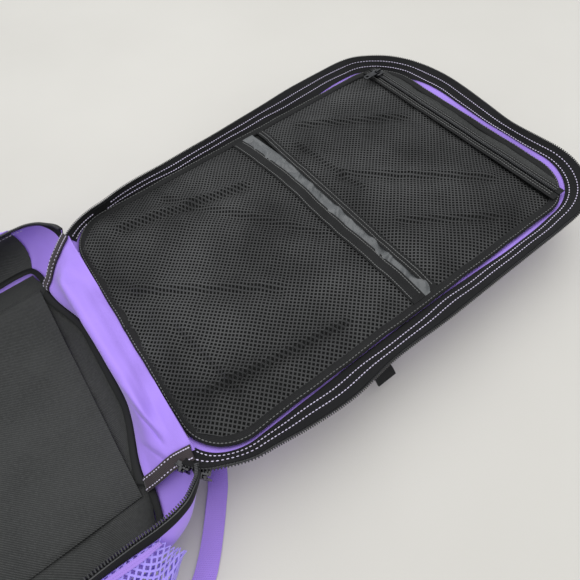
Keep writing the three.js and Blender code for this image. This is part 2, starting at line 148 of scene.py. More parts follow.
def crumple(x, y, length, start=0.0):
    turned = 0.8 * x + 0.6 * y
    across = 0.8 * y - 0.6 * x
    return 0.5 * (ripple(turned + 6 * ripple(across, length * 1.9, start), length, start)
                  + ripple(across + 5 * ripple(turned, length * 2.3, start + 2), length * 1.3, start + 1))


def valley(x, y, start, end, width):
    # 1 along a line between two points, falling off to its sides and ends
    a, b = np.array(start, float), np.array(end, float)
    along = (b - a) / np.linalg.norm(b - a)
    reach = (x - a[0]) * along[0] + (y - a[1]) * along[1]
    away = (x - a[0]) * -along[1] + (y - a[1]) * along[0]
    ends = ease(reach, 0, 14) * ease(np.linalg.norm(b - a) - reach, 0, 14)
    return ends * np.exp(-((away / width) ** 2)), away


def clothGrid(name, counts, size, place, thickness=0.0, offset=0.0):
    # a grid laid out over (u, v) in 0..1, its UV in metres so that a weave keeps its scale
    clearSelection()
    bpy.ops.mesh.primitive_grid_add(x_subdivisions=counts[0], y_subdivisions=counts[1], size=2)
    piece = bpy.context.object
    piece.name = piece.data.name = name
    flat = (meshPoints(piece) + 1) / 2
    setPoints(piece, toFrame(np.stack(np.broadcast_arrays(*place(flat[:, 0], flat[:, 1])), axis=-1)))
    layer = piece.data.uv_layers.active.data
    uv = np.empty(len(layer) * 2)
    layer.foreach_get("uv", uv)
    layer.foreach_set("uv", (uv.reshape(-1, 2) * np.array(size) * mm).ravel())
    if thickness:
        applied(piece, "SOLIDIFY", thickness=thickness * mm, offset=offset, use_even_offset=False)
    return piece


def unitShape(build):
    clearSelection()
    build()
    shape = bpy.context.object
    points = meshPoints(shape)
    faces = [tuple(face.vertices) for face in shape.data.polygons]
    bpy.data.objects.remove(shape)
    return points, faces


def copiesOf(name, unit, centres, along, up):
    # one mesh with a copy of the unit shape at each centre: its x runs along, its z up
    points, faces = unit
    along = along / np.linalg.norm(along, axis=1)[:, None]
    side = np.cross(up, along)
    side /= np.linalg.norm(side, axis=1)[:, None]
    up = np.cross(along, side)
    spread = (centres[:, None] + points[None, :, 0:1] * along[:, None]
              + points[None, :, 1:2] * side[:, None] + points[None, :, 2:3] * up[:, None])
    every = [tuple(i + n * len(points) for i in face) for n in range(len(centres)) for face in faces]
    mesh = bpy.data.meshes.new(name)
    mesh.from_pydata(toFrame(spread.reshape(-1, 3)).tolist(), [], every)
    piece = bpy.data.objects.new(name, mesh)
    scene.collection.objects.link(piece)
    return piece


def surfaceFrames(surface, s, t):
    # points of a surface with its direction along s and its normal
    step = 0.01
    here = np.stack(np.broadcast_arrays(*surface(s, t)), axis=-1)
    along = np.stack(np.broadcast_arrays(*surface(s + step, t)), axis=-1) - here
    across = np.stack(np.broadcast_arrays(*surface(s, t + step * 0.1)), axis=-1) - here
    normal = np.cross(along, across)
    along /= np.linalg.norm(along, axis=1)[:, None]
    normal /= np.linalg.norm(normal, axis=1)[:, None]
    return here, along, normal


def finished(piece, body, material, nodes=(), smooth=50, blend=None):
    piece.data.materials.clear()
    piece.data.materials.append(material)
    makeActive(piece)
    bpy.ops.object.shade_smooth_by_angle(angle=math.radians(smooth))
    if blend:
        start, end = (tuple(toFrame(point)) for point in blend)
        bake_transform(piece)
        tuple(start)
        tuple(end)
    else:
        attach(piece, body)
    if nodes:
        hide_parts(*nodes)
    return piece


hingeBlend = ((0, -11, 69), (0, 13, 69))


# finishes

class Finish:
    def __init__(self, name):
        self.material = bpy.data.materials.new(name)
        self.material.use_nodes = True
        tree = self.material.node_tree
        self.nodes, self.links = tree.nodes, tree.links
        self.shader = self.nodes["Principled BSDF"]
        self.spot = self.nodes.new("ShaderNodeTexCoord")

    def set(self, **values):
        for key, value in values.items():
            self.shader.inputs[key.replace("_", " ")].default_value = value
        return self

    def noise(self, scale, detail=3.0, source="Object"):
        node = self.nodes.new("ShaderNodeTexNoise")
        node.inputs["Scale"].default_value = scale
        node.inputs["Detail"].default_value = detail
        self.links.new(self.spot.outputs[source], node.inputs["Vector"])
        return node.outputs["Fac"]

    def ribs(self, period, direction="X", source="UV", distortion=0.0):
        node = self.nodes.new("ShaderNodeTexWave")
        node.bands_direction = direction
        node.inputs["Scale"].default_value = 0.31416 / period
        node.inputs["Distortion"].default_value = distortion
        self.links.new(self.spot.outputs[source], node.inputs["Vector"])
        return node.outputs["Fac"]

    def math(self, kind, first, second):
        node = self.nodes.new("ShaderNodeMath")
        node.operation = kind
        for socket, value in zip(node.inputs, (first, second)):
            if isinstance(value, (int, float)):
                socket.default_value = value
            else:
                self.links.new(value, socket)
        return node.outputs["Value"]

    def ramp(self, source, stops):
        node = self.nodes.new("ShaderNodeValToRGB")
        while len(node.color_ramp.elements) < len(stops):
            node.color_ramp.elements.new(0.5)
        for element, (place, colour) in zip(node.color_ramp.elements, stops):
            element.position = place
            element.color = (*colour, 1)
        self.links.new(source, node.inputs["Fac"])
        return node.outputs["Color"]

    def mixed(self, fac, first, second):
        node = self.nodes.new("ShaderNodeMix")
        node.data_type = "RGBA"
        for key, value in (("Factor", fac), ("A", first), ("B", second)):
            socket = next(s for s in node.inputs if s.name == key and (s.type == "RGBA") == (key != "Factor")
                          and s.enabled)
            if isinstance(value, tuple):
                socket.default_value = (*value, 1)
            elif isinstance(value, float):
                socket.default_value = value
            else:
                self.links.new(value, socket)
        return next(s for s in node.outputs if s.type == "RGBA")

    def colour(self, source):
        self.links.new(source, self.shader.inputs["Base Color"])
        return self

    def roughness(self, source, low, high):
        node = self.nodes.new("ShaderNodeMapRange")
        node.inputs["To Min"].default_value = low
        node.inputs["To Max"].default_value = high
        self.links.new(source, node.inputs["Value"])
        self.links.new(node.outputs["Result"], self.shader.inputs["Roughness"])
        return self

    def bump(self, layers):
        last = None
        for height, distance in layers:
            node = self.nodes.new("ShaderNodeBump")
            node.inputs["Distance"].default_value = distance * mm
            self.links.new(height, node.inputs["Height"])
            if last:
                self.links.new(last, node.inputs["Normal"])
            last = node.outputs["Normal"]
        self.links.new(last, self.shader.inputs["Normal"])
        return self


def scaled(colour, factor):
    return tuple(min(1.0, part * factor) for part in colour)


def wovenCloth(name, colour, period, rough, sheen, spread=0.12, depth=0.08, source="UV"):
    f = Finish(name).set(Sheen_Weight=sheen, Sheen_Roughness=0.4, Specular_IOR_Level=0.16)
    weave = f.math("MULTIPLY", f.ribs(period, "X", source), f.ribs(period, "Y", source))
    patches = f.noise(14, 4)
    tone = f.ramp(patches, [(0.3, scaled(colour, 1 - spread)), (0.7, scaled(colour, 1 + spread))])
    f.colour(f.mixed(f.math("MULTIPLY", weave, 0.25), tone, scaled(colour, 1.35)))
    f.roughness(f.noise(60, 3), rough - 0.06, rough + 0.08)
    return f.bump([(weave, depth), (f.noise(35, 4), 0.4)]).material


def ribbedCloth(name, colour, period, rough, direction, depth=0.25, bright=1.9, sheen=0.1, source="UV"):
    f = Finish(name).set(Sheen_Weight=sheen, Sheen_Roughness=0.35, Specular_IOR_Level=0.16)
    ribs = f.ribs(period, direction, source, 0.35)
    slubs = f.math("MULTIPLY", ribs, f.noise(420, 2))
    tone = f.ramp(f.noise(16, 5), [(0.32, scaled(colour, 0.72)), (0.7, scaled(colour, 1.3))])
    f.colour(f.mixed(slubs, tone, scaled(colour, bright)))
    f.roughness(f.noise(45, 3), rough - 0.08, rough + 0.1)
    return f.bump([(ribs, depth), (f.noise(28, 4), 0.8)]).material


def smoothCoat(name, colour, rough, metal=0.0, wear=0.25, grain=900):
    f = Finish(name).set(Metallic=metal, Coat_Weight=0.3, Coat_Roughness=0.18)
    marks = f.noise(grain, 3)
    f.colour(f.ramp(marks, [(0.35, scaled(colour, 1 - wear)), (0.75, scaled(colour, 1 + 2 * wear))]))
    f.roughness(f.noise(240, 4), rough * 0.75, rough * 1.4)
    return f.bump([(marks, 0.02)]).material


colours = {
    "purple": (0.372, 0.235, 0.775),
    "webbing": (0.335, 0.21, 0.66),
    "netPurple": (0.36, 0.28, 0.8),
    "lining": (0.025, 0.0255, 0.0245),
    "net": (0.043, 0.043, 0.0425),
    "binding": (0.0095, 0.0095, 0.0095),
    "tape": (0.0085, 0.0083, 0.0088),
    "stitch": (0.62, 0.56, 0.72),
}
finishes = {
    "coated": wovenCloth("CoatedCloth", colours["purple"], 0.0007, 0.42, 0.25, 0.05, 0.03),
    "coatedSoft": wovenCloth("CoatedClothPad", colours["purple"], 0.0009, 0.5, 0.3, 0.06, 0.05, "Object"),
    "webbing": wovenCloth("PurpleWebbing", colours["webbing"], 0.0014, 0.75, 0.25, 0.06, 0.3),
    "netPurple": wovenCloth("PurpleNet", colours["netPurple"], 0.0016, 0.6, 0.4, 0.14, 0.1),
    "lining": ribbedCloth("RibbedLining", colours["lining"], 0.00105, 0.46, "DIAGONAL", 0.22, 2.9, 0.08),
    "backing": wovenCloth("BlackBacking", scaled(colours["lining"], 0.5), 0.0012, 0.6, 0.03, 0.2, 0.08),
    # partly painted sheen: the net's random tone patches are made strong (spread 0.5) so lighter and darker patches
    # stand in for the light across the netting
    "net": wovenCloth("BlackNet", colours["net"], 0.0009, 0.5, 0.05, 0.5, 0.1),
    "binding": ribbedCloth("StitchedBinding", colours["binding"], 0.0011, 0.7, "Y", 0.15, 2.2, 0.08),
    "seamTape": ribbedCloth("BrownBlackTape", (0.035, 0.028, 0.03), 0.0013, 0.7, "X", 0.12, 1.7, 0.3),
    "tape": wovenCloth("ZipTape", colours["tape"], 0.0008, 0.7, 0.05, 0.2, 0.08),
    "padNet": wovenCloth("SpacerMesh", scaled(colours["net"], 0.6), 0.0032, 0.75, 0.3, 0.2, 0.6, "Object"),
    "stitch": wovenCloth("LightThread", colours["stitch"], 0.0005, 0.6, 0.3, 0.2, 0.05, "Object"),
    "darkStitch": wovenCloth("GreyThread", (0.13, 0.13, 0.125), 0.0005, 0.6, 0.3, 0.2, 0.05, "Object"),
    "coil": smoothCoat("NylonCoil", (0.016, 0.016, 0.017), 0.34),
    "metal": smoothCoat("BlackEnamel", (0.008, 0.008, 0.01), 0.16, 0.35, 0.3),
    "plastic": smoothCoat("MouldedPlastic", (0.017, 0.017, 0.018), 0.42, 0, 0.2, 1400),
}


def satinFinish():
    f = Finish("CrinkledSatin").set(Sheen_Weight=0.3, Anisotropic=0.5, Coat_Weight=0.15, Coat_Roughness=0.35)
    threads = f.ribs(0.0009, "Y")
    # painted highlight and shade: the noise mix from near-black to light grey puts light streaks and dark patches
    # into the satin's colour
    f.colour(f.mixed(f.noise(26, 3), (0.022, 0.024, 0.025), (0.1, 0.106, 0.108)))
    f.roughness(f.noise(60, 3), 0.2, 0.36)
    return f.bump([(threads, 0.03), (f.noise(70, 3), 0.6)]).material


finishes["satin"] = satinFinish()
print("finishes ready")


# the outline that lid and body share

def panelLine(distance, side=1):
    # walks a panel's seam from the middle of its hinge end: x, y and the outward normal
    half, near, far = panel["half"], panel["near"], panel["far"]
    rh, rt = panel["hingeRadius"], panel["topRadius"]
    stops = np.cumsum([half - rh, rh * math.pi / 2, far - near - rh - rt, rt * math.pi / 2, half - rt])
    whole = 2 * stops[-1]
    d = np.mod(distance, whole)
    left = d > stops[-1]
    d = np.where(left, whole - d, d)
    low = (d - stops[0]) / rh
    high = (d - stops[2]) / rt
    where = [d < stops[0], d < stops[1], d < stops[2], d < stops[3]]
    x = np.select(where, [d, half - rh + rh * np.sin(low), half, half - rt + rt * np.cos(high)],
                  half - rt - (d - stops[3]))
    y = np.select(where, [near, near + rh - rh * np.cos(low), near + rh + d - stops[1],
                          far - rt + rt * np.sin(high)], far)
    nx = np.select(where, [0.0, np.sin(low), 1.0, np.cos(high)], 0.0)
    ny = np.select(where, [-1.0, -np.cos(low), 0.0, np.sin(high)], 1.0)
    flip = np.where(left, -1, 1)
    return x * flip, y * side, nx * flip, ny * side


bends = panel["hingeRadius"] + panel["topRadius"]
lineLength = 2 * (2 * panel["half"] + panel["far"] - panel["near"] - 2 * bends + bends * math.pi / 2)
seamStart = 118.0  # along the outline, where the hinge cloth meets the walls
wallSpan = lineLength - 2 * seamStart

# how far the lid's rim leans out past its seam, going round from the right hinge corner
rimLean = [(118, 20), (139, 18), (152, 15), (176, 17), (211, 22), (255, 25), (297, 21), (364, 22), (437, 21),
           (529, 20), (580, 18), (630, 14), (666, 13), (700, 17), (739, 21), (794, 20), (828, 13), (857, 14),
           (880, 20), (924, 22), (1022, 16), (1096, 11), (1163, 8), (1214, 4), (1243, -1), (1262, 0), (1284, 6),
           (1299, 12)]


def lidWall(d, t):
    x, y, nx, ny = panelLine(d)
    lean = fromTable(rimLean, d)
    puff = 1.6 * ripple(d, 150, 1) * np.sin(math.pi * np.clip(t, 0, 1))
    out = lean * t + puff
    low = panel["floor"] - 2
    z = low + (panel["lidRim"] - 0.5 - low) * t + 0.8 * ripple(d, 210, 3) * t
    return x + nx * out, y + ny * out, z


# where the inner edge of the zip tape lies on the lid's wall, so how much of the coated cloth shows
tapeEdge = [(118, 0.3), (150, 0.22), (200, 0.12), (400, 0.08), (470, 0.24), (529, 0.2), (640, 0.34), (700, 0.32),
            (760, 0.3), (790, 0.26), (815, 0.05), (850, 0.02), (880, 0.17), (930, 0.13), (960, 0.02), (1000, 0),
            (1100, 0), (1200, 0.02), (1260, 0.22), (1299, 0.3)]


def tapeStart(d):
    return fromTable(tapeEdge, d)


def aroundLid(start, end, lift=0.0, begin=seamStart):
    # a band on the lid's wall from t = start to t = end, lifted off it towards the inside
    def place(u, v):
        d = begin + (lineLength - 2 * begin) * u
        first = start(d) if callable(start) else start
        t = first + (end - first) * v
        x, y, z = lidWall(d, t)
        nx, ny = panelLine(d)[2:]
        return x - nx * lift * 0.6, y - ny * lift * 0.6, z + lift * 0.8
    return place


def addLidWall():
    size = (wallSpan, 24)
    gusset = clothGrid("lidWall", (420, 8), size, aroundLid(-0.12, 0.55), 1.3)
    finished(gusset, "lid", finishes["coated"], ["lid_gusset"])
    tape = clothGrid("lidZipTape", (420, 8), size, aroundLid(tapeStart, 1.0, 1.2, 128), 0.8)
    finished(tape, "lid", finishes["tape"], ["lid_zip_tape"])
    lining = clothGrid("lidWallFacing", (420, 4), size, aroundLid(0.5, 0.96, -1.3, 128), 0.8)
    finished(lining, "lid", finishes["tape"])


def stitchUnit():
    bpy.ops.mesh.primitive_uv_sphere_add(segments=6, ring_count=4, radius=1)
    bpy.ops.transform.resize(value=(1.3, 0.5, 0.4))
    bpy.ops.object.transform_apply(location=False, rotation=False, scale=True)


def toothUnit():
    bpy.ops.mesh.primitive_cube_add(size=1)
    bpy.ops.transform.resize(value=(1.1, 3.2, 3.0))
    bpy.ops.object.transform_apply(location=False, rotation=False, scale=True)
    bpy.ops.object.mode_set(mode="EDIT")
    bpy.ops.mesh.bevel(offset=0.36, segments=1, affect="EDGES")
    bpy.ops.object.mode_set(mode="OBJECT")


stitch = unitShape(stitchUnit)
tooth = unitShape(toothUnit)


def stitchRow(name, surface, span, t, lift, pitch, finish="stitch", body="lid", blend=None):
    count = int((span[1] - span[0]) / pitch)
    s = span[0] + (np.arange(count) + 0.5) * pitch
    here, along, normal = surfaceFrames(surface, s, np.full(count, float(t)))
    normal *= np.sign(normal[:, 2:3] + 1e-9)
    piece = copiesOf(name, stitch, here + normal * lift, along, normal)
    return finished(piece, body, finishes[finish], smooth=80, blend=blend)


tapeStitch = {"rows": {"Outer": 0.7, "Inner": 0.4}, "lift": 2.0, "pitch": 3.1, "inset": 12}
zipTeeth = {"pitch": 1.9, "inset": 10, "cordRadius": 1.5}


def addLidSeams():
    first = seamStart + tapeStitch["inset"]
    ends = (first, lineLength - first)
    for row, t in tapeStitch["rows"].items():
        stitchRow("lidTapeStitch" + row, lidWall, ends, t, tapeStitch["lift"], tapeStitch["pitch"])


def addTeeth(name, surface, span, t, lift, pitch, body, nodes, blend=None):
    # a row of teeth along a line of the surface
    count = int((span[1] - span[0]) / pitch)
    s = span[0] + (np.arange(count) + 0.5) * pitch
    here, along, normal = surfaceFrames(surface, s, np.full(count, float(t)))
    piece = copiesOf(name, tooth, here + normal * lift, along, normal)
    return finished(piece, body, finishes["coil"], nodes, smooth=30, blend=blend)


def aroundTube(surface, span, t, radius, squashZ=1.0, lift=0.0):
    # a round bead that follows the surface's line at t
    def place(u, v):
        s = span[0] + (span[1] - span[0]) * u
        here, along, normal = surfaceFrames(surface, s, np.full_like(s, t))
        side = np.cross(normal, along)
        turn = 2 * math.pi * v
        spot = (here + normal * (lift + radius * squashZ * np.sin(turn))[:, None]
                + side * (radius * np.cos(turn))[:, None])
        return spot[:, 0], spot[:, 1], spot[:, 2]
    return place


def addLidCoil():
    first = seamStart + zipTeeth["inset"]
    ends = (first, lineLength - first)
    addTeeth("lidZipTeeth", lidWall, ends, 0.99, 0.4, zipTeeth["pitch"], "lid", ["lid_zip_coil"])
    tube = aroundTube(lidWall, ends, 0.93, zipTeeth["cordRadius"], 0.8)
    bead = clothGrid("lidZipCord", (420, 10), (wallSpan, 8), tube)
    finished(bead, "lid", finishes["coil"], smooth=60)


# the lid's lining and its two netting pockets

def ringBand(inner, outer, low, high, wave=0.0):
    # a rounded band along the lid's seam
    def place(u, v):
        d = lineLength * u
        x, y, nx, ny = panelLine(d)
        turn = 2 * math.pi * v
        middle, half = (inner + outer) / 2, (outer - inner) / 2
        out = middle + half * np.cos(turn) + wave * ripple(d, 90, 2)
        z = (low + high) / 2 + (high - low) / 2 * np.sign(np.sin(turn)) * np.abs(np.sin(turn)) ** 0.7
        return x + nx * out, y + ny * out, z + wave * 0.5 * ripple(d, 120, 5)
    return place


def mergeLoops(piece, distance=0.02):
    makeActive(piece)
    bpy.ops.object.mode_set(mode="EDIT")
    bpy.ops.mesh.select_all(action="SELECT")
    bpy.ops.mesh.remove_doubles(threshold=distance * mm)
    bpy.ops.mesh.normals_make_consistent(inside=False)
    bpy.ops.object.mode_set(mode="OBJECT")
    return piece


def panelHalfWidth(y, side, grow=0.0):
    # half the width of a lining panel at y, inside its rounded corners
    half = panel["half"] + grow
    near, far = panel["near"] - grow, panel["far"] + grow
    rh, rt = panel["hingeRadius"] + grow, panel["topRadius"] + grow
    level = y * side
    low = np.clip(near + rh - level, 0, rh)
    high = np.clip(level - (far - rt), 0, rt)
    return half - (rh - np.sqrt(rh**2 - low**2)) - (rt - np.sqrt(rt**2 - high**2))


def overPanel(side, grow, height):
    near, far = panel["near"] - grow, panel["far"] + grow
    def place(u, v):
        v = 0.5 - 0.5 * np.cos(math.pi * v)
        y = side * (near + (far - near) * v)
        x = (2 * u - 1) * panelHalfWidth(y, side, grow)
        return x, y, height(x, y)
    return place


def addLidLining():
    height = lambda x, y: panel["floor"] - 1.2 + 0.9 * crumple(x, y, 120, 1)
    lining = clothGrid("lidLining", (90, 130), (300, 450), overPanel(1, -2.5, height), 1.8)
    finished(lining, "lid", finishes["backing"], ["lid_lining"])
    low = boxOf("lid_binding")[0][2] - 0.4
    ring = ringBand(-9.6, -0.6, low, low + 3.6, 0.5)
    binding = mergeLoops(clothGrid("lidBinding", (460, 14), (lineLength, 22), ring))
    finished(binding, "lid", finishes["binding"], ["lid_binding"])
    def onBinding(d, t):
        x, y, nx, ny = panelLine(d)
        out = -5.1 + 4 * t + 0.5 * ripple(d, 90, 2)
        return x + nx * out, y + ny * out, low + 3.7 + 0.25 * ripple(d, 120, 5)
    stitchRow("lidBindingStitch", onBinding, (0, lineLength), 0.55, 0.1, 3.4, "darkStitch")


netPocket = {
    "pitch": 4.9,  # across a diamond of the netting, in mm
    "hole": 0.66,  # share of the diamond left open
    "thread": 0.6,
}


def knottedNet(name, xRange, yRange, inside, height, pitch=netPocket["pitch"]):
    # netting: a ring of cloth round each diamond hole, the rows staggered
    hole = netPocket["hole"]
    columns = int((xRange[1] - xRange[0]) / pitch) + 2
    rows = int((yRange[1] - yRange[0]) / (pitch / 2)) + 2
    row, column = np.meshgrid(np.arange(rows), np.arange(columns), indexing="ij")
    cx = (xRange[0] + (column + 0.5 * (row % 2)) * pitch).ravel()
    cy = (yRange[0] + row * pitch / 2).ravel()
    keep = inside(cx, cy)
    cx, cy = cx[keep], cy[keep]
    turn = np.arange(4) * math.pi / 2
    ringX, ringY = np.cos(turn) * pitch / 2, np.sin(turn) * pitch / 2
    x = np.concatenate([cx[:, None] + ringX, cx[:, None] + hole * ringX], axis=1).ravel()
    y = np.concatenate([cy[:, None] + ringY, cy[:, None] + hole * ringY], axis=1).ravel()
    points = toFrame(np.stack(np.broadcast_arrays(*height(x, y)), axis=-1))
    ring = [(k, (k + 1) % 4, 4 + (k + 1) % 4, 4 + k) for k in range(4)]
    faces = [tuple(cell * 8 + i for i in face) for cell in range(len(cx)) for face in ring]
    mesh = bpy.data.meshes.new(name)
    mesh.from_pydata(points.tolist(), [], faces)
    layout = mesh.uv_layers.new(name="UVMap")
    corners = np.empty(len(mesh.loops), int)
    mesh.loops.foreach_get("vertex_index", corners)
    layout.data.foreach_set("uv", (np.stack([x, y], axis=-1)[corners] * mm).ravel())
    piece = bpy.data.objects.new(name, mesh)
    scene.collection.objects.link(piece)
    makeActive(piece)
    bpy.ops.object.mode_set(mode="EDIT")
    bpy.ops.mesh.select_all(action="SELECT")
    bpy.ops.mesh.remove_doubles(threshold=0.08 * mm)
    bpy.ops.object.mode_set(mode="OBJECT")
    return applied(piece, "SOLIDIFY", thickness=netPocket["thread"] * mm, offset=0.0)


lowerNetLow, lowerNetHigh = boxOf("lower_mesh_pocket")
upperNetLow, upperNetHigh = boxOf("upper_mesh_pocket")
bandLow, bandHigh = boxOf("lower_pocket_band")
upperBandLow, upperBandHigh = boxOf("upper_pocket_band")
pocketTapeLow, pocketTapeHigh = boxOf("pocket_zip_tape")

lowerFolds = [((-112, 60), (-72, 215), 9, 2.6), ((-35, 40), (60, 165), 11, 2.2), ((95, 40), (122, 190), 7, 2.4),
              ((-125, 120), (40, 236), 12, 1.8), ((20, 60), (125, 75), 9, 1.6)]
upperFolds = [((-120, 300), (-40, 420), 9, 1.8), ((-30, 285), (90, 420), 10, 2.0), ((60, 290), (128, 380), 8, 1.6),
              ((-100, 285), (20, 300), 7, 1.5)]


def bandWander(x):
    # the lower pocket's elastic edge sags between its ends
    return curveThrough([-145, -61, 27, 96, 145], [-9, 0, 1, 4, 5], np.clip(x, -145, 145)) - 1


def netHeight(folds, yLow, yHigh, puff):
    # how high a net pocket stands over the lining, with its folds
    def height(x, y):
        sides = ease(146 - np.abs(x), 0, 26)
        ends = ease(y - yLow, 0, 22)
        z = panel["floor"] + 1.6 + puff * sides * (0.3 + 0.7 * ends) * (0.4 + 0.6 * ease(yHigh - y, 0, 40))
        z = z + (1.5 * crumple(x, y, 62, 2) + 0.6 * crumple(x, y, 27, 5)) * sides
        for start, end, width, depth in folds:
            ridge, away = valley(x, y, start, end, width)
            z = z + 1.8 * depth * ridge * np.tanh(away / width * 3)
        return z
    return height


def addNetPockets():
    lowZ = netHeight(lowerFolds, lowerNetLow[1], lowerNetHigh[1], 5.2)
    lowFar = bandLow[1]
    def lowerPlace(x, y):
        shift = bandWander(x) * ease(y, lowFar - 120, lowFar)
        return x, y + shift, lowZ(x, y)
    def lowerInside(x, y):
        return (np.abs(x) < panelHalfWidth(y, 1, -7.5)) & (y > panel["near"] + 7.5) & (y < lowFar + 2)
    net = knottedNet("lowerNetPocket", (-145, 145), (26, lowFar + 3), lowerInside, lowerPlace)
    finished(net, "lid", finishes["net"], ["lower_mesh_pocket"], smooth=35)

    upZ = netHeight(upperFolds, upperNetLow[1] - 6, upperNetHigh[1], 4.0)
    def upperPlace(x, y):
        far = ease(y, upperNetHigh[1] - 60, upperNetHigh[1])
        return x, y - 4 * far * np.clip(x / 140, -1, 1), upZ(x, y) - 1.2 * far
    def upperInside(x, y):
        return (np.abs(x) < panelHalfWidth(y, 1, -7.5)) & (y > upperNetLow[1] - 4) & (y < upperNetHigh[1] + 2)
    upperSpan = (upperNetLow[1] - 5, upperNetHigh[1] + 3)
    net = knottedNet("upperNetPocket", (-145, 145), upperSpan, upperInside, upperPlace)
    finished(net, "lid", finishes["net"], ["upper_mesh_pocket"], smooth=35)


def crossBand(yLow, yHigh, height, wander=lambda x: 0 * x, half=142.0, lift=0.6):
    def place(u, v):
        x = (2 * u - 1) * half
        y = yLow + (yHigh - yLow) * v
        crown = lift * np.sin(math.pi * v) ** 0.5
        return x, y + wander(x), height(x, y) + crown * ease(half - np.abs(x), 0, 8)
    return place


def addPocketEdges():
    lowZ = netHeight(lowerFolds, lowerNetLow[1], lowerNetHigh[1], 5.2)
    height = lambda x, y: lowZ(x, bandLow[1]) + 1.4 - 0.4 * ease(y, bandLow[1], bandHigh[1])
    edge = crossBand(bandLow[1] - 1, bandHigh[1] - 1, height, bandWander, lift=0.5)
    band = clothGrid("lowerPocketBand", (150, 10), (284, 13), edge, 1.4)
    finished(band, "lid", finishes["binding"], ["lower_pocket_band"])
    def onBand(s, t):
        x, y = s, bandLow[1] + t
        return x, y + bandWander(x), height(x, y) + 0.9
    for row, t in (("A", 0.6), ("B", 10.6)):
        stitchRow("lowerBandStitch" + row, onBand, (-138, 138), t, 0.2, 2.6, "darkStitch")

    satinLow, satinHigh = bandLow[1] + 4, upperBandLow[1] + 3
    def satin(x, y):
        fold = crumple(x, y * 1.3, 46, 4) + 0.55 * crumple(x + 0.6 * y, y * 0.6, 19, 1)
        slack = ease(142 - np.abs(x), 0, 12) * ease(y, satinLow, satinLow + 9) * ease(-y, -satinHigh, 6 - satinHigh)
        return panel["floor"] + 2.9 + 3.1 * fold * slack
    stripe = clothGrid("satinStripe", (260, 26), (284, 24), crossBand(satinLow, satinHigh, satin, bandWander), 0.5)
    finished(stripe, "lid", finishes["satin"], ["satin_stripe"])

    upZ = netHeight(upperFolds, upperNetLow[1] - 6, upperNetHigh[1], 4.0)
    topHeight = lambda x, y: upZ(x, upperBandHigh[1]) + 0.8
    edge = crossBand(upperBandLow[1] - 0.5, upperBandHigh[1] - 1, topHeight)
    upper = clothGrid("upperPocketBand", (150, 8), (284, 10), edge, 1.4)
    finished(upper, "lid", finishes["binding"], ["upper_pocket_band"])
    def onUpper(s, t):
        return s, upperBandLow[1] + t, topHeight(s, 0) + 1.2
    for name, t in (("A", 1.6), ("B", 5.6)):
        stitchRow("upperBandStitch" + name, onUpper, (-138, 138), t, 0.2, 2.6, "darkStitch")


def addPocketZip():
    base = boxOf("pocket_zip_coil")[0][2]
    middle = (pocketTapeLow[1] + pocketTapeHigh[1]) / 2
    for name, low, high, nodes in (("pocketZipTapeLow", pocketTapeLow[1] - 1.5, middle - 0.6, ["pocket_zip_tape"]),
                                   ("pocketZipTapeHigh", middle + 0.6, pocketTapeHigh[1] + 1.5, [])):
        height = lambda x, y: base - 0.9 + 0.3 * ripple(x, 80, 2)
        tape = clothGrid(name, (150, 6), (284, 9), crossBand(low, high, height, lift=0.35), 0.9)
        finished(tape, "lid", finishes["binding"], nodes)
    def line(s, t):
        return s, middle + t, base + 0.3 * ripple(s, 80, 2)
    addTeeth("pocketZipTeeth", line, (-136, 136), 0.0, 0.9, 1.7, "lid", ["pocket_zip_coil"])
    for name, t in (("A", -6.2), ("B", -2.9), ("C", 3.4), ("D", 6.4)):
        stitchRow("pocketZipStitch" + name, line, (-138, 138), t, 0.25, 2.8, "darkStitch")
    stripHigh = boxOf("top_lining_strip")[1]
    def strip(x, y):
        return panel["floor"] + 3.2 + 1.3 * crumple(x * 0.5, y, 34, 3) - 1.6 * ease(y, stripHigh[1] - 7, stripHigh[1])
    def place(u, v):
        y = pocketTapeHigh[1] + (stripHigh[1] + 2 - pocketTapeHigh[1]) * v
        x = (2 * u - 1) * np.minimum(142, panelHalfWidth(y, 1, -4))
        return x, y, strip(x, y)
    cloth = clothGrid("topLiningStrip", (160, 14), (270, 18), place, 0.9)
    finished(cloth, "lid", finishes["lining"], ["top_lining_strip"])


addLidWall()
addLidSeams()
addLidCoil()
addLidLining()
addNetPockets()
addPocketEdges()
addPocketZip()
print("lid ready")

# the hinge cloth and the body's walls
# round a hinge corner: distance along the outline, then the rim's x, y, z and the inner seam's x, y
bodyCorner = np.array([
    (118, 143.5, 19.5, 63.5, 118, -27), (130, 151, 16, 65, 131, -30), (141, 156.5, 9.5, 67, 143, -33),
    (150, 161, 3, 69, 150, -36.5), (160, 164, -7, 71, 152, -42), (172, 165, -20, 72, 151.5, -54),
    (190, 164.5, -40, 73, 150.5, -76), (215, 164.5, -68, 73, 150, -102), (250, 167, -120, 73, 150, -137),
    (290, 170, -179.3, 73, 150, -179.3)])
bodySpan = (seamStart, lineLength - seamStart)
wallSwell = [(118, 8), (130, 11), (141, 14), (160, 17), (175, 20), (200, 17), (250, 12), (320, 8), (720, 7)]
tuckShare = 0.19  # the lowest part of the wall, from the outer foot up to the lining


